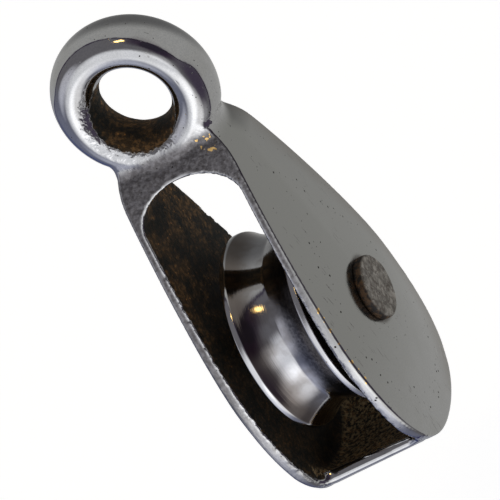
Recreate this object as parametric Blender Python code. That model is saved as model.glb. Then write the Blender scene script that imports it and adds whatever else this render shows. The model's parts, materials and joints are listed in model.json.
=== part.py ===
"""Fixed-eye single sheave block, in metres.

The frame: the origin is the centre of the eye's hole, +Z points up out of the eye, so that the block
hangs below the origin, +X runs along the axle and the eye's hole runs along Y.
The pieces: one casting (eye, neck, two cheeks and the wall that joins them below), a grooved sheave
between the cheeks, and the axle pin that is headed over at both ends.
"""

import math

import bmesh
import bpy
from mathutils import Vector
from mathutils.geometry import interpolate_bezier

MM = 0.001

# Driving dimensions
EYE_TO_AXLE = 54.5 * MM
FIT_GAP = 0.3 * MM  # between pieces that touch or turn on each other

EYE_MEAN_RADIUS = 10.85 * MM
EYE_RADIAL_HALF = 4.3 * MM  # half the ring's thickness, seen along the hole
EYE_AXIAL_HALF = 5.6 * MM  # half the ring's thickness along the hole

NECK_TOP_Z = -9.0 * MM  # the cheeks' outline starts here, inside the ring
NECK_TOP_DEPTH = 4.2 * MM  # half the casting's depth along Y there
NECK_SLOPE = 0.57  # growth of the half depth for each unit downwards
CHEEK_DEPTH = 19.7 * MM  # half the casting's greatest depth
CHEEK_WIDEST_Z = -57.5 * MM
BASE_Z = -84.2 * MM
NECK_PULL = 11.7 * MM  # lengths of the outline's curve handles, at its neck, above and below its widest
FLANK_PULL = 11.9 * MM
BELLY_PULL = 13.0 * MM
BASE_PULL = 16.6 * MM  # and at its base

SHOULDER_Z = -17.0 * MM  # the cheeks draw in towards the ring above this height
SHOULDER_HALF_WIDTH = 11.9 * MM
BASE_HALF_WIDTH = 12.9 * MM
SHOULDER_DRAW_IN = 2.6 * MM  # how far each side has drawn in at the top of the neck
CHEEK_DOME = 2.1 * MM  # how far the cheek swells past its edge, at the axle
BASE_LEAN = 1.35 * MM  # how much lower the casting's base hangs on its -X side than on its +X side
LEAN_TOP_Z = -72.0 * MM  # the lean starts here and is full at the foot of the cheeks
LEAN_FOOT_Z = -79.5 * MM

ARCH_TOP_Z = -15.2 * MM
ARCH_SPRING_Z = -21.5 * MM  # the arch's curve ends and the straight sides begin
OPENING_HALF_WIDTH = 10.25 * MM
BASE_WALL = 1.6 * MM  # at the +X end: the lean makes the wall thicker towards -X
BASE_EDGE_Y = 12.6 * MM  # the joining wall ends here, front and back

SHEAVE_RADIUS = 19.05 * MM
SHEAVE_WIDTH = 14.7 * MM
SHEAVE_OFFSET = 1.75 * MM  # the sheave has floated along its pin towards +X
RIM_WIDTH = 1.1 * MM
RIM_CHAMFER = 0.3 * MM
GROOVE_DEPTH = 2.85 * MM
FLANK_RADIUS = 13.0 * MM  # of the two hollow flanks, which meet in a crease at the middle of the groove
HUB_RADIUS = 8.0 * MM
HUB_RISE = 0.85 * MM  # how far the hub stands past the rims

PIN_RADIUS = 3.97 * MM
HEAD_RADIUS = 6.1 * MM
HEAD_RISE = 1.65 * MM
HEAD_EDGE = 0.45 * MM
TAIL_RADIUS = 5.8 * MM
TAIL_RISE = 0.95 * MM

# Fineness of the facets
OUTLINE_STEPS = 13  # points on each of the four curves round a cheek
DOME_RINGS = (0.25, 0.5, 0.72, 0.88)
RING_STEPS = 48
RING_SECTION_STEPS = 20
ARCH_STEPS = 16
TURNED_STEPS = 64
FLANK_STEPS = 7

AXLE_Z = -EYE_TO_AXLE

COLOURS = {
    "frame_casting": ((0.62, 0.62, 0.63), 0.12),
    "sheave": ((0.50, 0.50, 0.51), 0.18),
    "axle_pin": ((0.23, 0.22, 0.19), 0.6),
}


def clear_scene():
    for thing in list(bpy.data.objects):
        bpy.data.objects.remove(thing, do_unlink=True)


def add_object(name, mesh):
    thing = bpy.data.objects.new(name, mesh)
    bpy.context.collection.objects.link(thing)
    return thing


def mesh_from(name, points, faces):
    """A closed mesh with its faces turned outwards."""
    mesh = bpy.data.meshes.new(name)
    mesh.from_pydata([tuple(p) for p in points], [], faces)
    solid = bmesh.new()
    solid.from_mesh(mesh)
    bmesh.ops.recalc_face_normals(solid, faces=solid.faces)
    solid.to_mesh(mesh)
    solid.free()
    return mesh


def hide_cutter(thing):
    thing.hide_render = True
    thing.display_type = "WIRE"


def boolean(target, other, operation):
    cut = target.modifiers.new(operation.lower() + "_" + other.name, "BOOLEAN")
    cut.operation = operation
    cut.object = other
    cut.solver = "EXACT"
    hide_cutter(other)


def paint(thing, metallic=1.0):
    colour, roughness = COLOURS[thing.name]
    material = bpy.data.materials.new(thing.name)
    material.use_nodes = True
    shader = material.node_tree.nodes["Principled BSDF"]
    shader.inputs["Base Color"].default_value = (*colour, 1.0)
    shader.inputs["Roughness"].default_value = roughness
    shader.inputs["Metallic"].default_value = metallic
    thing.data.materials.append(material)
    thing.data.shade_smooth()
    thing.data.set_sharp_from_angle(angle=math.radians(32))


def curve_points(start, start_handle, end_handle, end):
    """Points (y, z) along one Bezier curve, without its last point."""
    knots = [Vector((y, z, 0.0)) for y, z in (start, start_handle, end_handle, end)]
    points = interpolate_bezier(*knots, OUTLINE_STEPS)
    return [(p.x, p.y) for p in points[:-1]]


def cheek_outline():
    """The pear-shaped outline of the casting seen along X, as (y, z), from the neck round to the neck."""
    slope = Vector((NECK_SLOPE, -1.0)).normalized()
    start = Vector((NECK_TOP_DEPTH, NECK_TOP_Z))
    widest = (CHEEK_DEPTH, CHEEK_WIDEST_Z)
    base = (0.0, BASE_Z)
    neck_handle = start + slope * NECK_PULL
    flank_handle = (CHEEK_DEPTH, CHEEK_WIDEST_Z + FLANK_PULL)
    belly_handle = (CHEEK_DEPTH, CHEEK_WIDEST_Z - BELLY_PULL)
    side = curve_points(start, neck_handle, flank_handle, widest)
    belly = curve_points(widest, belly_handle, (BASE_PULL, BASE_Z), base)
    half = side + belly
    mirrored = [(-y, z) for y, z in reversed(half)]
    return half + [base] + mirrored


def half_width(z):
    """Half the casting's width at the edges of the cheeks."""
    if z > SHOULDER_Z:
        rise = (z - SHOULDER_Z) / (NECK_TOP_Z - SHOULDER_Z)
        return SHOULDER_HALF_WIDTH - SHOULDER_DRAW_IN * rise * rise
    drop = (SHOULDER_Z - z) / (SHOULDER_Z - BASE_Z)
    return SHOULDER_HALF_WIDTH + (BASE_HALF_WIDTH - SHOULDER_HALF_WIDTH) * drop


def leaned(x, y, z):
    """The point, moved down by the casting's lean."""
    share = min(max((LEAN_TOP_Z - z) / (LEAN_TOP_Z - LEAN_FOOT_Z), 0.0), 1.0)
    ease = share * share * (3 - 2 * share)
    return x, y, z - BASE_LEAN * ease * (1 - x / BASE_HALF_WIDTH) / 2


def neck_top_points():
    """Closes the outline over the top of the neck, so that the two cheeks share one ring of points."""
    return [(-NECK_TOP_DEPTH / 3, NECK_TOP_Z), (NECK_TOP_DEPTH / 3, NECK_TOP_Z)]


def make_cheek_block():
    """The solid block that both cheeks are cut from: two domed faces and the band round them."""
    outline = cheek_outline() + neck_top_points()
    count = len(outline)
    points, faces = [], []
    rows = []
    for side in (1, -1):
        side_rows = []
        for share in DOME_RINGS + (1.0,):
            row = []
            for y, z in outline:
                ring_z = AXLE_Z + share * (z - AXLE_Z)
                x = half_width(ring_z) + CHEEK_DOME * (1 - share * share)
                row.append(len(points))
                points.append(leaned(side * x, share * y, ring_z))
            side_rows.append(row)
        centre = len(points)
        points.append((side * (half_width(AXLE_Z) + CHEEK_DOME), 0.0, AXLE_Z))
        faces += [(centre, side_rows[0][i], side_rows[0][(i + 1) % count]) for i in range(count)]
        for inner, outer in zip(side_rows, side_rows[1:]):
            faces += [(inner[i], outer[i], outer[(i + 1) % count], inner[(i + 1) % count])
                      for i in range(count)]
        rows.append(side_rows[-1])
    right, left = rows
    faces += [(right[i], left[i], left[(i + 1) % count], right[(i + 1) % count]) for i in range(count)]
    return add_object("frame_casting", mesh_from("frame_casting", points, faces))


def make_eye_ring():
    """A ring of oval section round the Y axis."""
    points, faces = [], []
    for i in range(RING_STEPS):
        turn = math.tau * i / RING_STEPS
        for j in range(RING_SECTION_STEPS):
            angle = math.tau * j / RING_SECTION_STEPS
            radius = EYE_MEAN_RADIUS + EYE_RADIAL_HALF * math.cos(angle)
            y = EYE_AXIAL_HALF * math.sin(angle)
            points.append((radius * math.sin(turn), y, radius * math.cos(turn)))
    for i in range(RING_STEPS):
        for j in range(RING_SECTION_STEPS):
            near, far = i * RING_SECTION_STEPS, (i + 1) % RING_STEPS * RING_SECTION_STEPS
            after = (j + 1) % RING_SECTION_STEPS
            faces.append((near + j, near + after, far + after, far + j))
    return add_object("eye_ring", mesh_from("eye_ring", points, faces))


def prism(name, outline, depth, across):
    """A solid with a flat outline, reaching depth to both sides. across is the axis it reaches along."""
    def place(u, v, reach):
        return (u, reach, v) if across == "Y" else (reach, u, v)

    count = len(outline)
    points = [place(u, v, depth) for u, v in outline] + [place(u, v, -depth) for u, v in outline]
    faces = [tuple(range(count)), tuple(range(count, 2 * count))]
    faces += [(i, (i + 1) % count, count + (i + 1) % count, count + i) for i in range(count)]
    return add_object(name, mesh_from(name, points, faces))


def make_front_opening():
    """The arch-topped opening seen along Y, cut right through and out past the base."""
    outline = [(OPENING_HALF_WIDTH, BASE_Z - 5 * MM)]
    for i in range(ARCH_STEPS + 1):
        angle = math.pi * i / ARCH_STEPS
        height = ARCH_SPRING_Z + (ARCH_TOP_Z - ARCH_SPRING_Z) * math.sin(angle)
        outline.append((OPENING_HALF_WIDTH * math.cos(angle), height))
    outline.append((-OPENING_HALF_WIDTH, BASE_Z - 5 * MM))
    return prism("front_opening", outline, 2 * CHEEK_DEPTH, "Y")


def make_space_above_base():
    """Everything above the inner side of the joining wall, seen along X: it keeps the wall whole."""
    curve = [p for p in cheek_outline() if p[1] < CHEEK_WIDEST_Z]
    inner, edge = [], []
    for before, here, after in zip(curve, curve[1:], curve[2:]):
        along = (Vector(after) - Vector(before)).normalized()
        inward = Vector((along.y, -along.x))
        if abs(here[0]) > BASE_EDGE_Y:
            continue
        inner.append(tuple(Vector(here) + inward * BASE_WALL))
        edge.append(tuple(Vector(here) - inward * BASE_WALL))
    reach = 1.6 * CHEEK_DEPTH
    ends = [edge[-1], (-reach, edge[-1][1]), (-reach, 0.0), (reach, 0.0), (reach, edge[0][1]), edge[0]]
    return prism("space_above_base", inner + ends, 2 * CHEEK_DEPTH, "X")


def make_cylinder(name, radius, reach):
    """A cutter along X through the axle."""
    profile = [(reach, radius), (-reach, radius)]
    return turned(name, profile, AXLE_Z)


def turned(name, profile, axis_z):
    """A solid of revolution about X. profile is (x, radius) from the +X end to the -X end."""
    solid = bmesh.new()
    rings = []
    for x, radius in profile:
        ring = []
        for i in range(TURNED_STEPS):
            angle = math.tau * i / TURNED_STEPS
            ring.append(solid.verts.new((x, radius * math.sin(angle), radius * math.cos(angle))))
        rings.append(ring)
    for ring, following in zip(rings, rings[1:]):
        for i in range(TURNED_STEPS):
            after = (i + 1) % TURNED_STEPS
            solid.faces.new((ring[i], ring[after], following[after], following[i]))
    solid.faces.new(rings[0])
    solid.faces.new(rings[-1])
    bmesh.ops.recalc_face_normals(solid, faces=solid.faces)
    mesh = bpy.data.meshes.new(name)
    solid.to_mesh(mesh)
    solid.free()
    thing = add_object(name, mesh)
    thing.location = (0.0, 0.0, axis_z)
    return thing


def make_frame_casting():
    casting = make_cheek_block()
    opening = make_front_opening()
    boolean(opening, make_space_above_base(), "INTERSECT")
    boolean(casting, opening, "DIFFERENCE")
    boolean(casting, make_eye_ring(), "UNION")
    boolean(casting, make_cylinder("pin_hole", PIN_RADIUS + FIT_GAP, 2 * BASE_HALF_WIDTH), "DIFFERENCE")
    paint(casting)
    return casting


def groove_flank():
    """The groove's +X flank, as (x, radius) from the rim down to the crease. It is a hollow arc."""
    rim = Vector((SHEAVE_WIDTH / 2 - RIM_WIDTH, SHEAVE_RADIUS))
    crease = Vector((0.0, SHEAVE_RADIUS - GROOVE_DEPTH))
    chord = crease - rim
    outward = Vector((chord.y, -chord.x)).normalized()
    reach = math.sqrt(FLANK_RADIUS ** 2 - chord.length_squared / 4)
    centre = (rim + crease) / 2 + outward * reach
    first, last = rim - centre, crease - centre
    turn = first.angle_signed(last)
    points = []
    for i in range(FLANK_STEPS + 1):
        angle = -turn * i / FLANK_STEPS
        x = first.x * math.cos(angle) - first.y * math.sin(angle)
        y = first.x * math.sin(angle) + first.y * math.cos(angle)
        points.append((centre.x + x, centre.y + y))
    return points


def sheave_profile():
    """Half the sheave's section, as (x, radius) from the +X face to the -X face."""
    half = SHEAVE_WIDTH / 2
    right = [(half + HUB_RISE, HUB_RADIUS), (half, HUB_RADIUS), (half, SHEAVE_RADIUS - RIM_CHAMFER),
             (half - RIM_CHAMFER, SHEAVE_RADIUS)] + groove_flank()
    left = [(-x, radius) for x, radius in reversed(right[:-1])]
    return right + left


def make_sheave():
    """The wheel turns about its own X axis, which is the pin's."""
    sheave = turned("sheave", sheave_profile(), AXLE_Z)
    bore = make_cylinder("sheave_bore", PIN_RADIUS + FIT_GAP, SHEAVE_WIDTH)
    boolean(sheave, bore, "DIFFERENCE")
    sheave.location.x = SHEAVE_OFFSET
    paint(sheave)
    return sheave


def make_axle_pin():
    """A plain rivet: a flat head on the +X cheek, and the end hammered over on the other."""
    hole_radius = PIN_RADIUS + FIT_GAP
    edge_share = hole_radius / CHEEK_DEPTH
    seat = half_width(AXLE_Z) + CHEEK_DOME * (1 - edge_share * edge_share) + FIT_GAP
    head = [(seat + HEAD_RISE, HEAD_RADIUS - HEAD_EDGE), (seat + HEAD_RISE - HEAD_EDGE, HEAD_RADIUS),
            (seat, HEAD_RADIUS), (seat, PIN_RADIUS)]
    tail = [(-seat, PIN_RADIUS), (-seat, TAIL_RADIUS), (-seat - TAIL_RISE / 2, TAIL_RADIUS),
            (-seat - TAIL_RISE, TAIL_RADIUS * 0.8)]
    pin = turned("axle_pin", head + tail, AXLE_Z)
    paint(pin)
    return pin


clear_scene()
make_frame_casting()
make_sheave()
make_axle_pin()
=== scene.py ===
"""The looks of the fixed-eye single sheave block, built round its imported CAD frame.

Lengths are in millimetres while a piece is being shaped, and its mesh is made in metres. The frame is
the CAD's: the origin is the centre of the eye's hole, +Z points up, the axle runs along X and the hole
along Y.
"""

import json
import math

import bpy
import numpy as np
from mathutils import Matrix, Vector, noise


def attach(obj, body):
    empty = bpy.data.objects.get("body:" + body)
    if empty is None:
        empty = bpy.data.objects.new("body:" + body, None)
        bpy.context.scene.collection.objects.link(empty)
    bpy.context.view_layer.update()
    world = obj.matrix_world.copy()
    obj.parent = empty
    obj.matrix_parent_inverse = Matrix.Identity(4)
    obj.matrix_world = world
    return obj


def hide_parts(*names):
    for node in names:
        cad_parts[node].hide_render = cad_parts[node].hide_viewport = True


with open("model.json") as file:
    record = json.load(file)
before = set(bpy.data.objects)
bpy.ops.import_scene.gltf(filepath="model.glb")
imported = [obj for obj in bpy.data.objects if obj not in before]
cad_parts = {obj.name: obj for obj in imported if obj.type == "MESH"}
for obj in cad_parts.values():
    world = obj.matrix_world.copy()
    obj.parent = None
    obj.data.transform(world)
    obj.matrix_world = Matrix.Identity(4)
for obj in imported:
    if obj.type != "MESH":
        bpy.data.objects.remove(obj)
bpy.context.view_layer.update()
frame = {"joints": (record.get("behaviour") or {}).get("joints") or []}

MM = 0.001

# The casting, as the CAD has it
AXLE_Z = frame["joints"][0]["pos_m"][2] / MM
EYE_MEAN_RADIUS = 10.85
EYE_RADIAL_HALF = 4.3
EYE_AXIAL_HALF = 5.6
NECK_TOP = (4.2, -9.0)  # (y, z) where the cheeks' outline starts
CROWN_Z = -3.0  # the outline would close here if it were not cut off over the neck
NECK_SLOPE = 0.57
WIDEST = (19.7, -57.5)
BASE = (0.0, -84.2)
OUTLINE_PULLS = (11.7, 11.9, 13.0, 16.6)  # handles at the neck, above and below the widest, at the base
SHOULDER_Z = -17.0
SHOULDER_HALF_WIDTH = 11.9
BASE_HALF_WIDTH = 12.9
SHOULDER_DRAW_IN = 2.6
DRAW_IN_LIMIT = 1.4  # where that stops, as a share of the way from the shoulder to the neck's top
CHEEK_DOME = 2.1
BASE_LEAN = 1.35  # how much lower the base hangs on its -X side than on its +X side
LEAN_ZONE = (-72.0, -79.5)  # heights where the lean starts and where it is full
ARCH_TOP_Z = -15.2
ARCH_SPRING_Z = -21.5
OPENING_HALF_WIDTH = 10.25
BASE_WALL = 1.6
BASE_EDGE_Y = 12.6
PIN_HOLE_RADIUS = 4.1

# Roundings that only the finished casting has
CHEEK_EDGE = 0.5
OPENING_EDGE = 0.35
NECK_FILLETS = (0.6, 2.2)  # between the eye and the neck: on its front and back, and on its sides
NECK_FILLET_ZONE = (6.0, 10.0)  # distances from the middle plane where one gives way to the other
FLOOR_FILLET = 2.4
BASE_LIP = 0.8  # of the joining wall's front and back ends, inside and outside
LIP_ZONE = (74.0, 77.0)  # depths below the eye's centre where the opening's edge grows into the lip
FOOT_EDGE = 1.6  # of the base's outer edge on the -X side
FOOT_ZONE = (74.0, 80.0)  # depths where the cheek's edge grows into the foot's

CASTING_BOX = ((-16.0, -20.5, -86.6), (16.0, 20.5, 16.0))  # holds the whole casting
MESH_STEP = 0.4


# ------------------------------------------------------- the casting's shape, as a distance field


def bezier(start, start_handle, end_handle, end, steps):
    """Points along one cubic Bezier curve, without its last."""
    t = np.arange(steps)[:, None] / steps
    knots = [np.array(p, float) for p in (start, start_handle, end_handle, end)]
    weights = ((1 - t) ** 3, 3 * (1 - t) ** 2 * t, 3 * (1 - t) * t * t, t ** 3)
    return sum(weight * knot for weight, knot in zip(weights, knots))


def outline_radius_table(steps=600):
    """Angles round the axle, from straight down to straight up, and the outline's distances from it."""
    neck_pull, flank_pull, belly_pull, base_pull = OUTLINE_PULLS
    slope = np.array((NECK_SLOPE, -1.0)) / math.hypot(NECK_SLOPE, 1.0)
    side = bezier(NECK_TOP, np.array(NECK_TOP) + slope * neck_pull,
                  (WIDEST[0], WIDEST[1] + flank_pull), WIDEST, steps)
    belly = bezier(WIDEST, (WIDEST[0], WIDEST[1] - belly_pull), (base_pull, BASE[1]), BASE, steps)
    crown = bezier((0.0, CROWN_Z), (NECK_TOP[0] / 2, CROWN_Z),
                   np.array(NECK_TOP) - slope * 3, NECK_TOP, steps)
    points = np.vstack((crown, side, belly, BASE))[::-1]
    across, up = points[:, 0], points[:, 1] - AXLE_Z
    return np.arctan2(across, -up), np.hypot(across, up)


OUTLINE_ANGLES, OUTLINE_RADII = outline_radius_table()
OUTLINE_SLOPES = np.gradient(OUTLINE_RADII, OUTLINE_ANGLES)


def smooth_step(values, start, end):
    """Eases from 0 at the start to 1 at the end."""
    share = np.clip((values - start) / (end - start), 0, 1)
    return share * share * (3 - 2 * share)


def round_cut(a, b, radius):
    """What two solids share, with its edge rounded."""
    corner = np.hypot(np.maximum(a + radius, 0), np.maximum(b + radius, 0))
    return np.minimum(np.maximum(a, b), -radius) + corner


def fillet_join(a, b, radius):
    """Two solids together, with a fillet between them."""
    corner = np.hypot(np.maximum(radius - a, 0), np.maximum(radius - b, 0))
    return np.maximum(np.minimum(a, b), radius) - corner


def half_width(z):
    """Half the casting's width at the cheeks' outline, before their swell."""
    rise = np.clip((z - SHOULDER_Z) / (NECK_TOP[1] - SHOULDER_Z), 0, DRAW_IN_LIMIT)
    drop = np.clip((SHOULDER_Z - z) / (SHOULDER_Z - BASE[1]), 0, 1)
    spread = (BASE_HALF_WIDTH - SHOULDER_HALF_WIDTH) * drop
    return SHOULDER_HALF_WIDTH - SHOULDER_DRAW_IN * rise ** 2 + spread


def outline_distance(y, z):
    """Distance outside the pear outline, and each point's share of the way out to it from the axle."""
    up = z - AXLE_Z
    angle = np.arctan2(np.abs(y), -up)
    reach = np.hypot(y, up)
    radius = np.interp(angle, OUTLINE_ANGLES, OUTLINE_RADII)
    slope = np.interp(angle, OUTLINE_ANGLES, OUTLINE_SLOPES)
    return (reach - radius) / np.hypot(1.0, slope / radius), reach / radius


def ring_distance(x, y, z):
    """Distance outside the eye's ring, whose section is an oval."""
    around = np.hypot(x, z) - EYE_MEAN_RADIUS
    scaled = np.hypot(around / EYE_RADIAL_HALF, y / EYE_AXIAL_HALF)
    steepness = np.hypot(around / EYE_RADIAL_HALF ** 2, y / EYE_AXIAL_HALF ** 2)
    return scaled * (scaled - 1) / np.maximum(steepness, 1e-6)


def arch_distance(x, z):
    """Distance outside the arch-topped opening, seen along Y."""
    height = ARCH_TOP_Z - ARCH_SPRING_Z
    across = np.maximum(np.abs(x), 0.01)  # so that the middle plane does not divide by nothing
    up = np.maximum(z - ARCH_SPRING_Z, 0)
    scaled = np.hypot(across / OPENING_HALF_WIDTH, up / height)
    return scaled * (scaled - 1) / np.hypot(across / OPENING_HALF_WIDTH ** 2, up / height ** 2)


def base_edge():
    """Where the joining wall ends on the outline, and the outline's direction there, going up."""
    across = OUTLINE_RADII * np.sin(OUTLINE_ANGLES)
    up = AXLE_Z - OUTLINE_RADII * np.cos(OUTLINE_ANGLES)
    i = int(np.argmax(across > BASE_EDGE_Y))
    along = np.array((across[i + 1] - across[i], up[i + 1] - up[i]))
    return (across[i], up[i]), along / np.linalg.norm(along)


BASE_END, BASE_END_ALONG = base_edge()


def past_base(y, z):
    """Distance short of the joining wall's front or back end. It is negative past the end."""
    return -((np.abs(y) - BASE_END[0]) * BASE_END_ALONG[0] + (z - BASE_END[1]) * BASE_END_ALONG[1])


def cavity_distance(x, y, z):
    """Distance outside the space between the cheeks. It is negative inside that space."""
    outline = outline_distance(y, z)[0]
    above_base = -round_cut(-(outline + BASE_WALL), -past_base(y, z), BASE_LIP)
    return round_cut(arch_distance(x, z), above_base, FLOOR_FILLET)


def leaned(x, z):
    """The height that a point would have if the base did not lean."""
    return z + BASE_LEAN * smooth_step(-z, -LEAN_ZONE[0], -LEAN_ZONE[1]) * (1 - x / BASE_HALF_WIDTH) / 2


def casting_distance(x, y, z):
    """Distance outside the whole casting. It is negative inside the metal."""
    even_z = leaned(x, z)
    outline, share = outline_distance(y, even_z)
    swell = CHEEK_DOME * np.maximum(1 - share ** 2, -0.5)
    band = np.maximum(outline, z - NECK_TOP[1])
    edge = CHEEK_EDGE + (FOOT_EDGE - CHEEK_EDGE) * smooth_step(-z, *FOOT_ZONE) * (x < 0)
    block = round_cut(band, np.abs(x) - half_width(even_z) - swell, edge)
    to_sides = smooth_step(np.abs(x), *NECK_FILLET_ZONE)
    fillet = NECK_FILLETS[0] + (NECK_FILLETS[1] - NECK_FILLETS[0]) * to_sides
    solid = fillet_join(block, ring_distance(x, y, z), fillet)
    opening_edge = OPENING_EDGE + (BASE_LIP - OPENING_EDGE) * smooth_step(-z, *LIP_ZONE)
    cast = round_cut(solid, -cavity_distance(x, y, z), opening_edge)
    return np.maximum(cast, PIN_HOLE_RADIUS - np.hypot(y, z - AXLE_Z))


# ------------------------------------------------------- making the meshes


def grid_values(field, low, high, step):
    """The field on a grid, worked out a slab at a time, and the grid's three lists of coordinates."""
    axes = [np.arange(a, b + step, step) for a, b in zip(low, high)]
    x, y, z = axes
    values = np.empty((len(x), len(y), len(z)), np.float32)
    for i in range(len(x)):
        values[i] = field(x[i], y[:, None], z[None, :])
    return values, axes


def shifted(values, offset):
    """The grid's cells' corners at that offset, 0 or 1 along each axis."""
    return values[tuple(slice(k, k + n - 1) for k, n in zip(offset, values.shape))]


def net_points(values, axes, step):
    """One point in each cell that the surface crosses: the mean of where it crosses the edges."""
    corners = [(i, j, k) for i in (0, 1) for j in (0, 1) for k in (0, 1)]
    inside = [shifted(values, c) < 0 for c in corners]
    crossed = np.logical_or.reduce(inside) & ~np.logical_and.reduce(inside)
    cells = np.argwhere(crossed)
    at_corner = {c: shifted(values, c)[crossed] for c in corners}
    total = np.zeros((len(cells), 3))
    count = np.zeros(len(cells))
    for first in corners:
        for axis in range(3):
            if first[axis]:
                continue
            second = tuple(1 if n == axis else c for n, c in enumerate(first))
            a, b = at_corner[first], at_corner[second]
            crosses = (a < 0) != (b < 0)
            share = np.where(crosses, a / np.where(crosses, a - b, 1), 0)
            place = np.array(first, float) + share[:, None] * np.eye(3)[axis]
            total += np.where(crosses[:, None], place, 0)
            count += crosses
    origin = np.array([axis_values[0] for axis_values in axes])
    number = np.full(crossed.shape, -1, np.int64)
    number[crossed] = np.arange(len(cells))
    return origin + (cells + total / count[:, None]) * step, number


def net_faces(values, number):
    """One four-sided face round each grid edge that the surface crosses."""
    faces = []
    inside = values < 0
    for axis in range(3):
        low = np.moveaxis(inside, axis, 0)[:-1, 1:-1, 1:-1]
        high = np.moveaxis(inside, axis, 0)[1:, 1:-1, 1:-1]
        cell = np.moveaxis(number, axis, 0)
        around = [cell[:, :-1, :-1], cell[:, 1:, :-1], cell[:, 1:, 1:], cell[:, :-1, 1:]]
        for edges, order in ((low & ~high, (0, 1, 2, 3)), (~low & high, (3, 2, 1, 0))):
            quads = np.stack([around[n][edges] for n in order], 1)
            faces.append(quads if axis != 1 else quads[:, ::-1])
    return np.vstack(faces).tolist()


def slopes(field, points, reach=0.01):
    """The field's gradient at each point."""
    columns = []
    for axis in np.eye(3) * reach:
        ahead, behind = points + axis, points - axis
        columns.append((field(*ahead.T) - field(*behind.T)) / (2 * reach))
    return np.stack(columns, 1)


def settle(field, points, rounds=4):
    """Moves each point straight on to the surface, and gives the points and the surface's normals."""
    for _ in range(rounds):
        slope = slopes(field, points)
        steepness = np.maximum((slope ** 2).sum(1), 0.05)
        move = slope * (field(*points.T) / steepness)[:, None]
        length = np.linalg.norm(move, axis=1)[:, None]
        points = points - move * np.minimum(1, 0.5 * MESH_STEP / np.maximum(length, 1e-9))
    slope = slopes(field, points)
    return points, slope / np.linalg.norm(slope, axis=1)[:, None]


def mesh_piece(name, points, faces, material):
    """A smooth-shaded object from points in millimetres."""
    mesh = bpy.data.meshes.new(name)
    mesh.from_pydata((points * MM).tolist(), [], faces)
    mesh.shade_smooth()
    mesh.materials.append(material)
    piece = bpy.data.objects.new(name, mesh)
    bpy.context.collection.objects.link(piece)
    return piece


def point_values(mesh, name, values):
    """Stores one number for each point, which a material reads by this name."""
    layer = mesh.attributes.new(name, "FLOAT", "POINT")
    layer.data.foreach_set("value", np.ascontiguousarray(values, np.float32))


def noise_at(points, size, seed=0.0, octaves=1):
    """Smooth noise from -1 to 1, whose bumps are about that many millimetres across."""
    offset = Vector((seed, seed * 1.7, seed * 0.3))
    places = (Vector(point) / size + offset for point in points.tolist())
    return np.array([noise.fractal(place, 1.0, 2.0, octaves) for place in places])


# ------------------------------------------------------- the pieces

# Depths of the casting's marks: polishing waves, grain of the raw skin, dents and the nicks in its edge
POLISH_WAVE = 0.035
RAW_GRAIN = 0.05
HAMMER_DEPTH = 0.14
EDGE_NICK = 0.24
RIGHT_EDGE_NICK = 0.27  # how deep the +X cheek's nicks are, as a share of the -X cheek's

SHEAVE_OFFSET = 1.75
SHEAVE_RADIUS = 19.05
SHEAVE_HALF = 7.35
RIM_WIDTH = 1.1
RIM_ROUNDING = 0.3
GROOVE_DEPTH = 2.85
FLANK_RADIUS = 13.0
HUB_RADIUS = 8.0
HUB_RISE = 0.85
BORE_RADIUS = 4.27
SHEAVE_STEPS = 240

PIN_RADIUS = 3.97
HEAD_RADIUS = 6.1
HEAD_SEAT = 14.2
HEAD_FACE = 16.3
HEAD_EDGE = 0.8
TAIL_RADIUS = 5.8
TAIL_FACE = -15.6
HEAD_DENT = 0.18
TAIL_DENT = 0.22
PIN_STEPS = 160


def near(distance, full, none):
    """1 within the first distance of a place, and 0 past the second."""
    return 1 - smooth_step(np.abs(distance), full, none)


def raw_zone(x, y, z, floor_depth):
    """The raw casting skin: the inside of the space between the cheeks, but not its wall's ends."""
    from_wall_end = near(past_base(y, z), 0.35, 0.8)
    in_wall = near(floor_depth, BASE_WALL - 0.3, BASE_WALL + 0.1) * (arch_distance(x, z) < -0.5)
    inside = near(cavity_distance(x, y, z), 0.25, 0.6) * smooth_step(floor_depth, 0.1, 0.4)
    return inside * (1 - from_wall_end * in_wall)


def bore_zones(x, y, z):
    """The raw skin inside the eye's hole, which reaches further out low down as painted shade, and its
    hammered lip.
    """
    around = np.hypot(x, z)
    inward = (EYE_MEAN_RADIUS - around) / EYE_RADIAL_HALF
    shaded = 0.5 - 0.5 * (0.87 * z + 0.5 * x) / np.maximum(around, 1)
    # Painted shade: the raw skin's dark colour is spread further out where the hole is shaded, low down
    # and on -X
    depth = inward + 0.75 * shaded
    bore = smooth_step(depth, 1.02, 1.30) * (np.abs(y) < EYE_AXIAL_HALF)
    lip = near(depth - 1.02, 0.14, 0.42) * smooth_step(shaded, 0.25, 0.6)
    return bore, lip * (1 - smooth_step(x, 2.5, 6.0))


def neck_zone(x, z, outline, arch, from_side):
    """The dull flat front and back of the neck, fading out down the cheeks' edges. Its colour there is
    darkened as a painted dark reflection.
    """
    left_fade = 1 - 0.75 * smooth_step(-z, 40.0, 76.0)
    right_fade = 1 - 0.95 * smooth_step(-z, 32.0, 58.0)
    flat = near(outline, 0.8, 1.3) * smooth_step(-z, 9.0, 11.0) * np.where(x < 0, left_fade, right_fade)
    return flat * smooth_step(arch, 0.3, 0.7) * smooth_step(from_side, 0.2, 0.6)


def painted_glint_zone(points, outline, arch, from_side, bore_lip):
    """Where gold lamp glints are painted into the plating's colour: at the neck's +X corner, along
    edges and on the bore's lip.
    """
    x, y, z = points.T
    cheek_line = near(outline, 0.5, 1.0) * (y < 0)
    return np.maximum.reduce([
        near(np.hypot(x - 8.5, z + 11.5), 2.0, 4.0) * (y < 0) * smooth_step(from_side, 0.0, 0.5),
        near(from_side, 0.3, 0.7) * cheek_line * (x > 0) * near(z + 53, 8.0, 13.0),
        near(arch, 0.5, 1.0) * cheek_line * (x < 0) * near(z + 36, 10.0, 18.0) * 0.5,
        bore_lip * near(np.hypot(x - 1, z + 7), 2.0, 5.0) * (y < 0) * 0.6,
    ])


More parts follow.
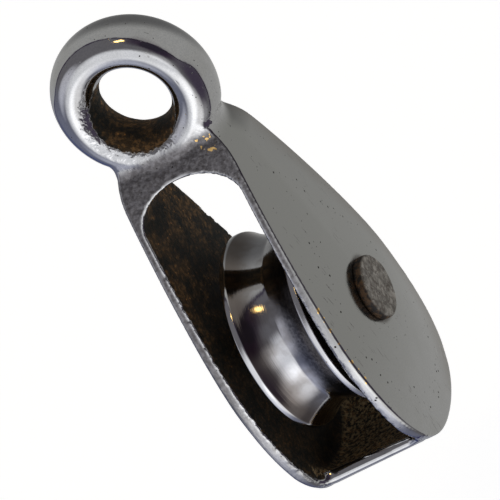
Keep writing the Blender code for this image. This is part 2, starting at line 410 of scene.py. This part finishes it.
def hammered_zones(x, y, z, outline):
    """Dented places: the corner between ring and neck, the base's corners, and the cheeks' edges."""
    band = np.maximum(outline, z - NECK_TOP[1])
    corner = near(ring_distance(x, y, z), 0.3, 1.1) * near(band, 0.3, 1.3) * smooth_step(-z, 6.5, 8.5)
    corner *= 0.35 + 0.65 * smooth_step(np.abs(x), 4.0, 8.0)
    from_base_corner = np.hypot(np.abs(x) - BASE_HALF_WIDTH + 1.2, past_base(y, z))
    base_corner = near(from_base_corner, 0.8, 3.0) * (z < BASE_END[1] + 4)
    edge = np.maximum(np.abs(arch_distance(x, z)), np.abs(outline) * 0.6)
    return corner, base_corner, near(edge, 0.3, 0.9) * smooth_step(-z, 24.0, 32.0)


def casting_zones(points):
    """How each point of the casting was finished, as values from 0 to 1 by the zone's name."""
    x, y, z = points.T
    outline, share = outline_distance(y, leaned(x, z))
    floor_depth = -outline_distance(y, z)[0]
    arch = arch_distance(x, z)
    from_side = half_width(z) + CHEEK_DOME * np.maximum(1 - share ** 2, 0) - np.abs(x)
    from_pin = np.hypot(y, z - AXLE_Z)
    bore, bore_lip = bore_zones(x, y, z)
    corner, base_corner, front_edge = hammered_zones(x, y, z, outline)
    neck = neck_zone(x, z, outline, arch, from_side)
    dents = [bore_lip, corner, 0.7 * base_corner, 0.9 * front_edge, 0.35 * neck]
    low_fade = 0.35 + 0.65 * smooth_step(z, -80.0, -52.0)
    on_cheek = np.abs(x) > BASE_HALF_WIDTH - 2.0

    return {
        # The bore's share is raw skin, spread as painted shade over the hole's shaded lower side
        "raw": np.maximum(raw_zone(x, y, z, floor_depth), bore),
        "hammered": np.maximum.reduce(dents),
        "nicked": front_edge,
        "upper": smooth_step(z, -54.0, -28.0),
        "floor": near(floor_depth - BASE_WALL, 0.4, 1.2) * (np.abs(y) < BASE_EDGE_Y + 1) * (z < AXLE_Z),
        # Painted shadow: a dark ring on the +X cheek round the pin head
        "pin_head_shade": (x > 0) * near(from_pin - HEAD_RADIUS, 0.1, 0.9),
        "rubbed": (x > 0) * near(from_pin - HEAD_RADIUS - 1.5, 1.0, 2.6),
        "neck": neck,
        "painted_glint": painted_glint_zone(points, outline, arch, from_side, bore_lip),
        "weathered": near(from_side, 0.3, 1.0) * smooth_step(-z, 9.0, 13.0) * low_fade,
        # Painted shade: the cheeks turn darker brown towards their back edges, where the domed faces
        # reflect darker
        "back_edge_shade": smooth_step(share, 0.70, 1.0) * smooth_step(y, 1.0, 11.0) * on_cheek,
    }


def make_casting(material):
    """The frame's one casting, with its polishing waves, raw grain, dents and nicks cut into it."""
    values, axes = grid_values(casting_distance, *CASTING_BOX, MESH_STEP)
    points, number = net_points(values, axes, MESH_STEP)
    faces = net_faces(values, number)
    points, outward = settle(casting_distance, points)
    zones = casting_zones(points)
    nicks = zones["nicked"] * smooth_step(noise_at(points, 1.3, 5.0, 2), 0.05, 0.45)
    nicks *= np.where(points[:, 0] < 0, 1.0, RIGHT_EDGE_NICK)
    wave = POLISH_WAVE * (1 + noise_at(points, 7.0, 1.0)) / 2 * (1 - zones["raw"])
    grain = RAW_GRAIN * (1 + noise_at(points, 1.4, 2.0, 2)) / 2 * zones["raw"]
    dents = HAMMER_DEPTH * (1 + noise_at(points, 1.7, 3.0)) / 2 * zones["hammered"]
    depth = wave + grain + dents + EDGE_NICK * nicks
    piece = mesh_piece("cast_frame", points - outward * depth[:, None], faces, material)
    for name, share in zones.items():
        point_values(piece.data, name, share)
    return piece


def round_corners(corners, radius, steps=6):
    """A line through the corners with each one but the two ends rounded off."""
    line = [np.array(corners[0], float)]
    for before, corner, after in zip(corners, corners[1:], corners[2:]):
        corner = np.array(corner, float)
        back, ahead = np.array(before) - corner, np.array(after) - corner
        reach = min(radius, 0.45 * np.linalg.norm(back), 0.45 * np.linalg.norm(ahead))
        start = corner + back / np.linalg.norm(back) * reach
        end = corner + ahead / np.linalg.norm(ahead) * reach
        for t in np.linspace(0, 1, steps):
            line.append((1 - t) ** 2 * start + 2 * t * (1 - t) * corner + t * t * end)
    line.append(np.array(corners[-1], float))
    return np.array(line)


def lathe(name, profile, steps, material, looped):
    """Turns (x, radius) points round the axle. A looped profile closes on itself, round a bore."""
    turns = np.arange(steps) * math.tau / steps
    count = len(profile)
    x = np.repeat(profile[:, 0][None], steps, 0)
    y = np.sin(turns)[:, None] * profile[:, 1][None]
    z = AXLE_Z + np.cos(turns)[:, None] * profile[:, 1][None]
    points = np.stack((x, y, z), 2).reshape(-1, 3)
    rows = np.arange(steps)[:, None] * count
    next_rows = np.roll(rows, -1, 0)
    here = np.arange(count if looped else count - 1)[None]
    after = (here + 1) % count
    faces = np.stack((rows + here, next_rows + here, next_rows + after, rows + after), 2)
    faces = faces.reshape(-1, 4).tolist()
    points = points.tolist()
    if not looped:
        for end, order in ((0, 1), (count - 1, -1)):
            centre = len(points)
            points.append([profile[end, 0], 0.0, AXLE_Z])
            rim = [i * count + end for i in range(steps)]
            faces += [[centre, a, b][::order] for a, b in zip(rim[1:] + rim[:1], rim)]
    return mesh_piece(name, np.array(points), faces, material)


def groove_flank(steps=18):
    """Points (x, radius) down the groove's hollow +X flank, from its rim to its crease."""
    rim = np.array((SHEAVE_HALF - RIM_WIDTH, SHEAVE_RADIUS))
    crease = np.array((0.0, SHEAVE_RADIUS - GROOVE_DEPTH))
    chord = crease - rim
    length = np.linalg.norm(chord)
    outward = np.array((chord[1], -chord[0])) / length
    centre = (rim + crease) / 2 + outward * math.sqrt(FLANK_RADIUS ** 2 - length ** 2 / 4)
    start, end = (math.atan2(*(point - centre)[::-1]) for point in (rim, crease))
    angles = np.linspace(start, end, steps)
    return centre + FLANK_RADIUS * np.column_stack((np.cos(angles), np.sin(angles)))


def sheave_profile():
    """The wheel's section, from the bore over the +X face and down to the crease, and back."""
    flank = groove_flank()
    hub_face = SHEAVE_HALF + HUB_RISE
    face = [(hub_face, BORE_RADIUS), (hub_face, HUB_RADIUS), (SHEAVE_HALF, HUB_RADIUS),
            (SHEAVE_HALF, SHEAVE_RADIUS), tuple(flank[0]), tuple(flank[2])]
    rim = round_corners(face, RIM_ROUNDING)[:-1]
    right = np.vstack((rim, flank[2:]))
    left = right[-2::-1] * (-1, 1)
    return np.vstack((right, left)) + (SHEAVE_OFFSET, 0)


def make_sheave(material):
    return lathe("grooved_wheel", sheave_profile(), SHEAVE_STEPS, material, looped=True)


def make_pin(material):
    """The rivet: its head at +X, its shank, and its hammered tail at -X."""
    corners = [(HEAD_FACE, 0.1), (HEAD_FACE, HEAD_RADIUS), (HEAD_SEAT, HEAD_RADIUS),
               (HEAD_SEAT, PIN_RADIUS), (-HEAD_SEAT, PIN_RADIUS), (-HEAD_SEAT, TAIL_RADIUS),
               (TAIL_FACE + 0.5, TAIL_RADIUS), (TAIL_FACE, TAIL_RADIUS * 0.6), (TAIL_FACE, 0.1)]
    rounded = round_corners(corners, HEAD_EDGE)
    fine = [rounded[0]]
    for before, after in zip(rounded, rounded[1:]):
        cuts = max(1, int(np.linalg.norm(after - before) / 0.5))
        fine += [before + (after - before) * k / cuts for k in range(1, cuts + 1)]
    pin = lathe("rivet_pin", np.array(fine), PIN_STEPS, material, looped=False)
    places = np.array([v.co for v in pin.data.vertices]) / MM
    outer = smooth_step(np.abs(places[:, 0]), HEAD_SEAT, -TAIL_FACE - 0.4)
    hammered = np.where(places[:, 0] < 0, TAIL_DENT, HEAD_DENT)
    depth = outer * hammered * (0.5 + 0.5 * noise_at(places, 1.8, 9.0, 2))
    middle = np.array((0.0, 0.0, AXLE_Z))
    toward = middle - places
    toward /= np.maximum(np.linalg.norm(toward, axis=1), 1e-6)[:, None]
    moved = places + toward * depth[:, None]
    pin.data.vertices.foreach_set("co", (moved * MM).astype(np.float32).ravel())
    return pin


# ------------------------------------------------------- materials

# Colours of the plating
BRIGHT_PLATE = ((0.50, 0.50, 0.505), (0.57, 0.57, 0.57))
HAZED_PLATE = (0.47, 0.465, 0.45)
WEATHERED_PLATE = (0.385, 0.385, 0.370)
# Painted shade towards the cheeks' back edges
BACK_EDGE_SHADE_PLATE = (0.26, 0.23, 0.20)
# Painted dark reflection on the neck's flat front and back
NECK_PAINTED_SHADE = ((0.12, 0.112, 0.112), (0.22, 0.21, 0.215))
SCRATCH = (0.24, 0.23, 0.22)
# Painted shadow round the pin head
PIN_HEAD_SHADE = (0.10, 0.085, 0.075)
PIT = (0.06, 0.055, 0.05)
# Painted glint: the colour of the lamp's gold glints, painted on the plating
PAINTED_GOLD_GLINT = (1.0, 0.66, 0.24)

# Colours of the raw casting skin
BARE_SKIN = (0.010, 0.011, 0.009)
RUST_PATCH = (0.055, 0.034, 0.015)
RUST_STREAK = (0.19, 0.105, 0.040)
RUST_SPECK = (0.50, 0.24, 0.07)
# Pale rust flakes on the base's floor, also lightening it as painted light
FLOOR_FLAKE_AND_LIGHT = (0.50, 0.37, 0.20)

# Colours of the sheave
CLEAN_STEEL = (0.50, 0.50, 0.515)
STAINED_STEEL = (0.37, 0.36, 0.36)
# Painted reflections on the groove's flanks: brown of the +X cheek's rusty inside on the -X flank, dark
# of the -X cheek's inside on the +X flank
LEFT_FLANK_PAINTED_REFLECTION = (0.17, 0.135, 0.11)
RIGHT_FLANK_PAINTED_REFLECTION = (0.085, 0.085, 0.095)
BRIGHT_RIM = (0.60, 0.60, 0.61)
NICK = (0.08, 0.07, 0.06)

# Colours of the pin
DULL_FACE = ((0.13, 0.12, 0.105), (0.31, 0.29, 0.26))
CRACK = (0.07, 0.055, 0.045)
DARK_RUST = ((0.022, 0.020, 0.019), (0.115, 0.070, 0.040))


class Paint:
    """Builds one material's nodes. Their inputs are given as values or as other nodes' sockets."""

    def __init__(self, name):
        self.material = bpy.data.materials.new(name)
        self.material.use_nodes = True
        self.tree = self.material.node_tree
        self.shader = self.tree.nodes["Principled BSDF"]
        place = self.tree.nodes.new("ShaderNodeTexCoord").outputs["Object"]
        self.place = self.math("SCALE", place, scale=1 / MM, vector=True)

    def put(self, socket, value):
        if isinstance(value, bpy.types.NodeSocket):
            self.tree.links.new(value, socket)
        else:
            socket.default_value = value

    def node(self, kind, output=0, settings=None, **inputs):
        made = self.tree.nodes.new(kind)
        for key, value in (settings or {}).items():
            setattr(made, key, value)
        for key, value in inputs.items():
            self.put(made.inputs[key.replace("_", " ")], value)
        return made.outputs[output]

    def math(self, operation, first, second=None, scale=None, vector=False):
        made = self.tree.nodes.new("ShaderNodeVectorMath" if vector else "ShaderNodeMath")
        made.operation = operation
        self.put(made.inputs[0], first)
        if second is not None:
            self.put(made.inputs[1], second)
        if scale is not None:
            made.inputs["Scale"].default_value = scale
        return made.outputs[0]

    def times(self, first, second):
        return self.math("MULTIPLY", first, second)

    def plus(self, first, second):
        return self.math("ADD", first, second)

    def minus(self, first, second):
        return self.math("SUBTRACT", first, second)

    def stored(self, name):
        """The number that point_values stored."""
        return self.node("ShaderNodeAttribute", output="Fac", settings={"attribute_name": name})

    def stretched(self, stretch):
        return self.math("MULTIPLY", self.place, stretch, vector=True)

    def noise(self, size, detail=2.0, rough=0.5, place=None):
        """Values from 0 to 1, whose patches are about that many millimetres across."""
        return self.node("ShaderNodeTexNoise", Vector=place or self.place, Scale=1 / size,
                         Detail=detail, Roughness=rough)

    def spots(self, spacing, radius, share):
        """1 inside scattered round spots. share is how many of the cells have one."""
        cells = self.tree.nodes.new("ShaderNodeTexVoronoi")
        self.put(cells.inputs["Vector"], self.place)
        cells.inputs["Scale"].default_value = 1 / spacing
        spot = self.ramp(cells.outputs["Distance"], 0.6 * radius / spacing, radius / spacing, 1, 0)
        chosen = self.ramp(self.node("ShaderNodeSeparateColor", Color=cells.outputs["Color"]),
                           share, share + 0.02, 1, 0)
        return self.times(spot, chosen)

    def scratches(self):
        """1 along scattered thin lines, which run down the piece."""
        lines = self.ramp(self.noise(0.30, 1.0, place=self.stretched((0.25, 1.0, 0.06))), 0.68, 0.73)
        return self.times(lines, self.ramp(self.noise(6.0, 2.0), 0.50, 0.62))

    def ramp(self, value, start, end, low=0.0, high=1.0):
        """Eases from low, where the value is at the start, to high at the end."""
        return self.node("ShaderNodeMapRange", settings={"interpolation_type": "SMOOTHSTEP"},
                         Value=value, From_Min=start, From_Max=end, To_Min=low, To_Max=high)

    def mix(self, share, low, high):
        """Mixes two colours. A mix node's sockets 6 and 7 are its colours, and 2 is the mixed one."""
        made = self.tree.nodes.new("ShaderNodeMix")
        made.data_type = "RGBA"
        self.put(made.inputs[0], share)
        self.put(made.inputs[6], low if isinstance(low, bpy.types.NodeSocket) else (*low, 1))
        self.put(made.inputs[7], high if isinstance(high, bpy.types.NodeSocket) else (*high, 1))
        return made.outputs[2]

    def blend(self, share, low, high):
        """Mixes two numbers. A mix node's sockets 2 and 3 are its numbers."""
        made = self.tree.nodes.new("ShaderNodeMix")
        self.put(made.inputs[0], share)
        self.put(made.inputs[2], low)
        self.put(made.inputs[3], high)
        return made.outputs[0]

    def bump(self, height, depth, under=None):
        """Relief that is so many millimetres deep. under is the relief that it lies on."""
        inputs = {"Height": height, "Distance": depth * MM, "Strength": 1.0}
        if under is not None:
            inputs["Normal"] = under
        return self.node("ShaderNodeBump", **inputs)

    def finish(self, colour, roughness, metallic, normal):
        self.put(self.shader.inputs["Base Color"], colour)
        self.put(self.shader.inputs["Roughness"], roughness)
        self.put(self.shader.inputs["Metallic"], metallic)
        self.put(self.shader.inputs["Normal"], normal)
        return self.material


def plating_colour(paint, grain, haze, pits, scratches):
    """Bright plating, dulled by zones and darkened by painted shade and dark reflections towards the
    cheeks' back edges, on the neck and round the pin head, with dark pits and scratches and painted
    gold glints.
    """
    # Painted shade: darker brown towards the cheeks' back edges
    back_edge_shade = paint.times(paint.stored("back_edge_shade"), paint.ramp(grain, 0, 1, 0.45, 0.75))
    mottle = paint.ramp(paint.noise(0.8, 4.0, 0.6), 0.35, 0.65)
    # Painted dark reflection: the neck's flat faces, mottled
    painted_neck_shade = paint.mix(mottle, *NECK_PAINTED_SHADE)
    colour = paint.mix(grain, *BRIGHT_PLATE)
    colour = paint.mix(paint.times(haze, 0.35), colour, HAZED_PLATE)
    colour = paint.mix(paint.stored("weathered"), colour, WEATHERED_PLATE)
    colour = paint.mix(back_edge_shade, colour, BACK_EDGE_SHADE_PLATE)
    colour = paint.mix(paint.times(scratches, 0.8), colour, SCRATCH)
    colour = paint.mix(paint.stored("neck"), colour, painted_neck_shade)
    # Painted shadow round the pin head
    colour = paint.mix(paint.times(paint.stored("pin_head_shade"), 0.8), colour, PIN_HEAD_SHADE)
    colour = paint.mix(pits, colour, PIT)
    # Painted glints: gold lamp glints painted as colour in the glint zone
    glint_pattern = paint.plus(paint.noise(0.9, 1.5, 0.5), paint.ramp(paint.stored("painted_glint"), 0, 1, -0.4, 0.0))
    return paint.mix(paint.ramp(glint_pattern, 0.60, 0.64), colour, PAINTED_GOLD_GLINT)


def skin_colour(paint):
    """Near-black casting skin with rust, most of it high up and on the floor of the base, whose pale
    flakes are partly rust and partly painted light.
    """
    floor = paint.stored("floor")
    patches = paint.ramp(paint.noise(5.0, 4.0, 0.6), 0.42, 0.60)
    patches = paint.times(patches, paint.ramp(paint.stored("upper"), 0, 1, 0.32, 1.0))
    shown = paint.math("MAXIMUM", patches, paint.times(floor, 0.9))
    streaks = paint.ramp(paint.noise(0.8, 5.0, 0.65), 0.46, 0.62)
    streaks = paint.times(streaks, paint.ramp(shown, 0, 1, 0.18, 1.0))
    specks = paint.times(paint.spots(1.3, 0.22, 0.40), paint.ramp(shown, 0, 1, 0.10, 1.0))
    # Pale flakes on the floor: rust flakes, and painted light that lifts the dim floor
    flakes_and_light = paint.ramp(paint.noise(0.7, 3.0, 0.7), 0.44, 0.60)
    colour = paint.mix(patches, BARE_SKIN, RUST_PATCH)
    colour = paint.mix(streaks, colour, RUST_STREAK)
    colour = paint.mix(specks, colour, RUST_SPECK)
    return paint.mix(paint.times(flakes_and_light, paint.times(floor, 0.75)), colour, FLOOR_FLAKE_AND_LIGHT)


def plated_casting():
    """Worn bright plating outside, with pits and fine scratches, and dark rusty casting skin inside."""
    paint = Paint("plated_casting")
    ragged = paint.ramp(paint.noise(0.9, 4.0, 0.6), 0.25, 0.75, -0.25, 0.25)
    raw = paint.ramp(paint.plus(paint.stored("raw"), ragged), 0.35, 0.65)
    pits = paint.math("MAXIMUM", paint.spots(1.9, 0.24, 0.32), paint.spots(0.9, 0.12, 0.24))
    grain = paint.ramp(paint.noise(0.35, 3.0, 0.6), 0.3, 0.7)
    haze = paint.ramp(paint.noise(5.0, 3.0), 0.4, 0.7)
    scratches = paint.scratches()
    colour = paint.mix(raw, plating_colour(paint, grain, haze, pits, scratches), skin_colour(paint))

    polished = paint.plus(paint.ramp(haze, 0, 1, 0.06, 0.10), paint.times(pits, 0.4))
    for zone, added in (("back_edge_shade", 0.10), ("pin_head_shade", 0.25), ("neck", 0.26), ("rubbed", 0.07)):
        polished = paint.plus(polished, paint.times(paint.stored(zone), added))
    roughness = paint.blend(raw, polished, 0.70)
    metallic = paint.blend(raw, 1.0, 0.5)

    hairlines = paint.noise(1.0, 3.0, place=paint.stretched((1.0, 5.0, 0.35)))
    marks = paint.times(paint.minus(paint.noise(1.3, 2.0, 0.5), 0.5), paint.stored("hammered"))
    rough_skin = paint.times(paint.minus(paint.noise(0.5, 4.0, 0.65), 0.5), raw)
    normal = paint.bump(hairlines, 0.005)
    normal = paint.bump(paint.noise(2.6, 2.0), 0.012, under=normal)
    normal = paint.bump(paint.times(scratches, -1.0), 0.02, under=normal)
    normal = paint.bump(paint.times(pits, -1.0), 0.06, under=normal)
    normal = paint.bump(marks, 0.28, under=normal)
    normal = paint.bump(rough_skin, 0.30, under=normal)
    return paint.finish(colour, roughness, metallic, normal)


def turned_steel():
    """Polished by the rope, with the fine rings that turning leaves, and flanks darkened by painted
    reflections of the cheeks' dark, rusty insides.
    """
    paint = Paint("turned_steel")
    across = paint.minus(paint.node("ShaderNodeSeparateXYZ", Vector=paint.place), SHEAVE_OFFSET)
    rings = paint.noise(0.22, 3.0, 0.6, place=paint.stretched((1.0, 0.02, 0.02)))
    stain = paint.ramp(paint.noise(3.5, 4.0), 0.45, 0.7)
    nicks = paint.spots(1.6, 0.14, 0.18)
    colour = paint.mix(stain, CLEAN_STEEL, STAINED_STEEL)
    left_flank = paint.ramp(across, -1.2, -5.0)
    right_flank = paint.ramp(across, 0.5, 3.0)
    mottle = paint.ramp(paint.noise(0.6, 4.0, 0.6), 0.35, 0.65, 0.7, 1.0)
    # Painted reflections: the flanks darkened as if they mirrored the cheeks' dark insides
    colour = paint.mix(paint.times(left_flank, 0.8), colour, LEFT_FLANK_PAINTED_REFLECTION)
    colour = paint.mix(paint.times(right_flank, mottle), colour, RIGHT_FLANK_PAINTED_REFLECTION)
    rim_starts = SHEAVE_HALF - RIM_WIDTH
    rim = paint.ramp(paint.math("ABSOLUTE", across), rim_starts - 0.25, rim_starts)
    colour = paint.mix(rim, colour, BRIGHT_RIM)
    colour = paint.mix(nicks, colour, NICK)
    roughness = paint.plus(paint.ramp(rings, 0.3, 0.7, 0.055, 0.12), paint.times(right_flank, 0.12))
    normal = paint.bump(rings, 0.016)
    normal = paint.bump(paint.noise(4.0, 1.0), 0.010, under=normal)
    normal = paint.bump(paint.times(nicks, -1.0), 0.04, under=normal)
    return paint.finish(colour, roughness, 1.0, normal)


def dull_steel():
    """The rivet: oxidised grey with brown rust round the heads' sides."""
    paint = Paint("dull_steel")
    along = paint.node("ShaderNodeSeparateXYZ", Vector=paint.place)
    from_middle = paint.math("ABSOLUTE", paint.minus(along, (HEAD_FACE + TAIL_FACE) / 2))
    half_length = (HEAD_FACE - TAIL_FACE) / 2
    on_face = paint.ramp(from_middle, half_length - 0.50, half_length - 0.15)
    mottle = paint.ramp(paint.noise(1.6, 5.0, 0.65), 0.35, 0.68)
    flecks = paint.spots(0.9, 0.2, 0.3)
    face = paint.mix(mottle, *DULL_FACE)
    cracks = paint.math("ABSOLUTE", paint.minus(paint.noise(2.2, 4.0, 0.6), 0.5))
    cracks = paint.times(paint.ramp(cracks, 0.0, 0.05, 1, 0), 0.8)
    face = paint.mix(paint.math("MAXIMUM", flecks, cracks), face, CRACK)
    rusted = paint.ramp(paint.noise(1.0, 4.0), 0.4, 0.65)
    rust = paint.mix(rusted, *DARK_RUST)
    colour = paint.mix(on_face, rust, face)
    file_marks = paint.noise(1.0, 3.0, place=paint.stretched((1.0, 0.3, 4.0)))
    normal = paint.bump(paint.noise(0.8, 5.0, 0.65), 0.12)
    normal = paint.bump(file_marks, 0.05, under=normal)
    return paint.finish(colour, paint.ramp(mottle, 0, 1, 0.62, 0.48), 0.55, normal)


# ------------------------------------------------------- light and camera


def direction(azimuth, elevation):
    """A unit vector. Azimuth 0 is -Y, in front of the eye's hole, and 90 is +X, over the pin's head."""
    a, e = math.radians(azimuth), math.radians(elevation)
    return Vector((math.sin(a) * math.cos(e), -math.cos(a) * math.cos(e), math.sin(e)))


STUDIO_GLOW = (0.18, 0.175, 0.19)
DARKEST = (0.035, 0.03, 0.045)
# The pale back half of the room, with a dark line along its edge. Each step is a start and an end past
# that edge, measured along REAR, and the colour that is added there.
REAR = (162, 0)
REAR_HEIGHTS = (-0.3, 0.15)  # from the first of these heights to the second
REAR_SHIFTS = (-0.27, 0.15)  # the edge shifts from the first of these to the second
REAR_STEPS = (
    ((-0.10, -0.06), (-0.13, -0.135, -0.12)),
    ((-0.03, 0.02), (0.41, 0.42, 0.38)),
)
# Each soft light in the room: where it is, its angular radius, half the width of its soft edge, and its
# colour. A negative colour is a dark screen.
STUDIO_LIGHTS = (
    ((180, 20), 30, 20, (-0.30, -0.30, -0.29)),
    ((-128, -35), 20, 16, (-0.13, -0.12, -0.07)),
    ((48, 45), 14, 12, (-0.12, -0.13, -0.12)),
    ((48, 22), 14, 11, (-0.14, -0.15, -0.14)),
    ((62, -25), 22, 14, (-0.10, -0.11, -0.09)),
    ((-82, -35), 34, 22, (0.03, 0.05, 0.12)),
    ((-10, -8), 29, 11, (0.90, 0.92, 0.95)),
    ((-56, 8), 14, 10, (0.48, 0.49, 0.54)),
    ((20, 2), 9, 9, (0.30, 0.30, 0.30)),
    ((-2, -44), 23, 12, (0.95, 0.95, 0.95)),
    ((-52, -44), 13, 12, (0.40, 0.41, 0.45)),
    ((42, -62), 11, 9, (0.22, 0.22, 0.22)),
    ((13, 60), 2.6, 1.2, (8.0, 5.2, 1.6)),
    ((24, 60), 2.6, 1.2, (8.0, 5.2, 1.6)),
)


class Room:
    """Builds the world's nodes. Each light is added on to the ones before it."""

    def __init__(self, tree):
        self.tree = tree
        self.place = tree.nodes.new("ShaderNodeTexCoord").outputs["Generated"]
        self.total = tree.nodes.new("ShaderNodeCombineXYZ").outputs[0]
        for socket, value in zip(self.total.node.inputs, STUDIO_GLOW):
            socket.default_value = value

    def vector_math(self, operation, *operands):
        """A new node. The caller takes the output that it needs."""
        made = self.tree.nodes.new("ShaderNodeVectorMath")
        made.operation = operation
        for socket, operand in zip(made.inputs, operands):
            if isinstance(operand, bpy.types.NodeSocket):
                self.tree.links.new(operand, socket)
            else:
                socket.default_value = operand
        return made

    def facing(self, azimuth, elevation):
        """The cosine of the angle away from this direction."""
        towards = direction(azimuth, elevation)
        return self.vector_math("DOT_PRODUCT", self.place, towards).outputs["Value"]

    def ease(self, value, start, end, low=0.0, high=1.0):
        """Eases from low, where the value is at the start, to high at the end."""
        made = self.tree.nodes.new("ShaderNodeMapRange")
        made.interpolation_type = "SMOOTHSTEP"
        self.tree.links.new(value, made.inputs["Value"])
        for name, number in (("From Min", start), ("From Max", end), ("To Min", low), ("To Max", high)):
            made.inputs[name].default_value = number
        return made.outputs[0]

    def light(self, share, colour):
        """Adds that share of the colour."""
        self.total = self.vector_math("MULTIPLY_ADD", share, colour, self.total).outputs[0]


def make_world():
    """Lights the metal by the room, and shows the camera plain white behind the block."""
    world = bpy.data.worlds.new("studio")
    bpy.context.scene.world = world
    world.use_nodes = True
    tree = world.node_tree
    tree.nodes.clear()
    room = Room(tree)
    height = room.facing(0, 90)
    shift = room.ease(height, *REAR_HEIGHTS, *REAR_SHIFTS)
    behind = tree.nodes.new("ShaderNodeMath")
    behind.operation = "ADD"
    tree.links.new(room.facing(*REAR), behind.inputs[0])
    tree.links.new(shift, behind.inputs[1])
    for (start, end), colour in REAR_STEPS:
        room.light(room.ease(behind.outputs[0], start, end), colour)
    for place, radius, soft, colour in STUDIO_LIGHTS:
        outer = math.cos(math.radians(radius + soft))
        inner = math.cos(math.radians(max(radius - soft, 0)))
        room.light(room.ease(room.facing(*place), outer, inner), colour)
    lit = room.vector_math("MAXIMUM", room.total, DARKEST).outputs[0]
    lamps = tree.nodes.new("ShaderNodeBackground")
    tree.links.new(lit, lamps.inputs["Color"])
    backdrop = tree.nodes.new("ShaderNodeBackground")
    backdrop.inputs["Color"].default_value = (1, 1, 1, 1)
    chosen = tree.nodes.new("ShaderNodeMixShader")
    tree.links.new(tree.nodes.new("ShaderNodeLightPath").outputs["Is Camera Ray"], chosen.inputs[0])
    tree.links.new(lamps.outputs[0], chosen.inputs[1])
    tree.links.new(backdrop.outputs[0], chosen.inputs[2])
    tree.links.new(chosen.outputs[0], tree.nodes.new("ShaderNodeOutputWorld").inputs["Surface"])


FLOOR_Z = -140.0
FLOOR_REACH = 40.0 / MM


def make_floor():
    """A wide pale sheet under the block, lit evenly. The metal reflects the room and not the sheet."""
    mesh = bpy.data.meshes.new("floor")
    corners = [(-1, -1), (1, -1), (1, 1), (-1, 1)]
    points = [(x * FLOOR_REACH * MM, y * FLOOR_REACH * MM, FLOOR_Z * MM) for x, y in corners]
    mesh.from_pydata(points, [], [(0, 1, 2, 3)])
    floor = bpy.data.objects.new("floor", mesh)
    bpy.context.collection.objects.link(floor)
    material = bpy.data.materials.new("pale_paper")
    material.use_nodes = True
    shader = material.node_tree.nodes["Principled BSDF"]
    shader.inputs["Base Color"].default_value = (0.6, 0.6, 0.6, 1)
    shader.inputs["Roughness"].default_value = 0.9
    shader.inputs["Specular IOR Level"].default_value = 0.0
    shader.inputs["Emission Color"].default_value = (1, 1, 1, 1)
    shader.inputs["Emission Strength"].default_value = 0.8
    mesh.materials.append(material)
    floor.visible_glossy = False
    return floor


CAMERA_SIDE = (27.48, 23.86)  # azimuth and elevation of the camera, seen from the block
CAMERA_ROLL = -36.96
CAMERA_DISTANCE = 642.8
CAMERA_SHIFT = (2.10, -3.44)  # rightwards and upwards, from the block's middle to the picture's
BLOCK_MIDDLE = Vector((0, 0, -32.7))
SENSOR_WIDTH = 36
FOCAL_LENGTH = 259.2


def make_camera():
    """A long lens in front of the eye, above and on the pin head's side. The block leans left."""
    back = direction(*CAMERA_SIDE)
    level = Vector((-back.y, back.x, 0)).normalized()
    upright = back.cross(level)
    roll = math.radians(CAMERA_ROLL)
    right = level * math.cos(roll) + upright * math.sin(roll)
    up = upright * math.cos(roll) - level * math.sin(roll)
    target = BLOCK_MIDDLE + right * CAMERA_SHIFT[0] + up * CAMERA_SHIFT[1]
    data = bpy.data.cameras.new("camera")
    data.sensor_width = SENSOR_WIDTH
    data.lens = FOCAL_LENGTH
    camera = bpy.data.objects.new("camera", data)
    bpy.context.collection.objects.link(camera)
    place = BLOCK_MIDDLE + back * CAMERA_DISTANCE
    sight = (place - target).normalized()
    across = (right - sight * right.dot(sight)).normalized()
    turn = Matrix((across, sight.cross(across), sight)).transposed()
    camera.matrix_world = Matrix.Translation(place * MM) @ turn.to_4x4()
    bpy.context.scene.camera = camera


# ------------------------------------------------------- putting it together

make_camera()
make_world()
bpy.context.scene.view_settings.view_transform = "Standard"
make_floor()

cast_frame = make_casting(plated_casting())
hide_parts("frame_casting")
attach(cast_frame, "frame")

wheel = make_sheave(turned_steel())
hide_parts("sheave")
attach(wheel, "sheave")

pin = make_pin(dull_steel())
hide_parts("axle_pin")
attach(pin, "frame")
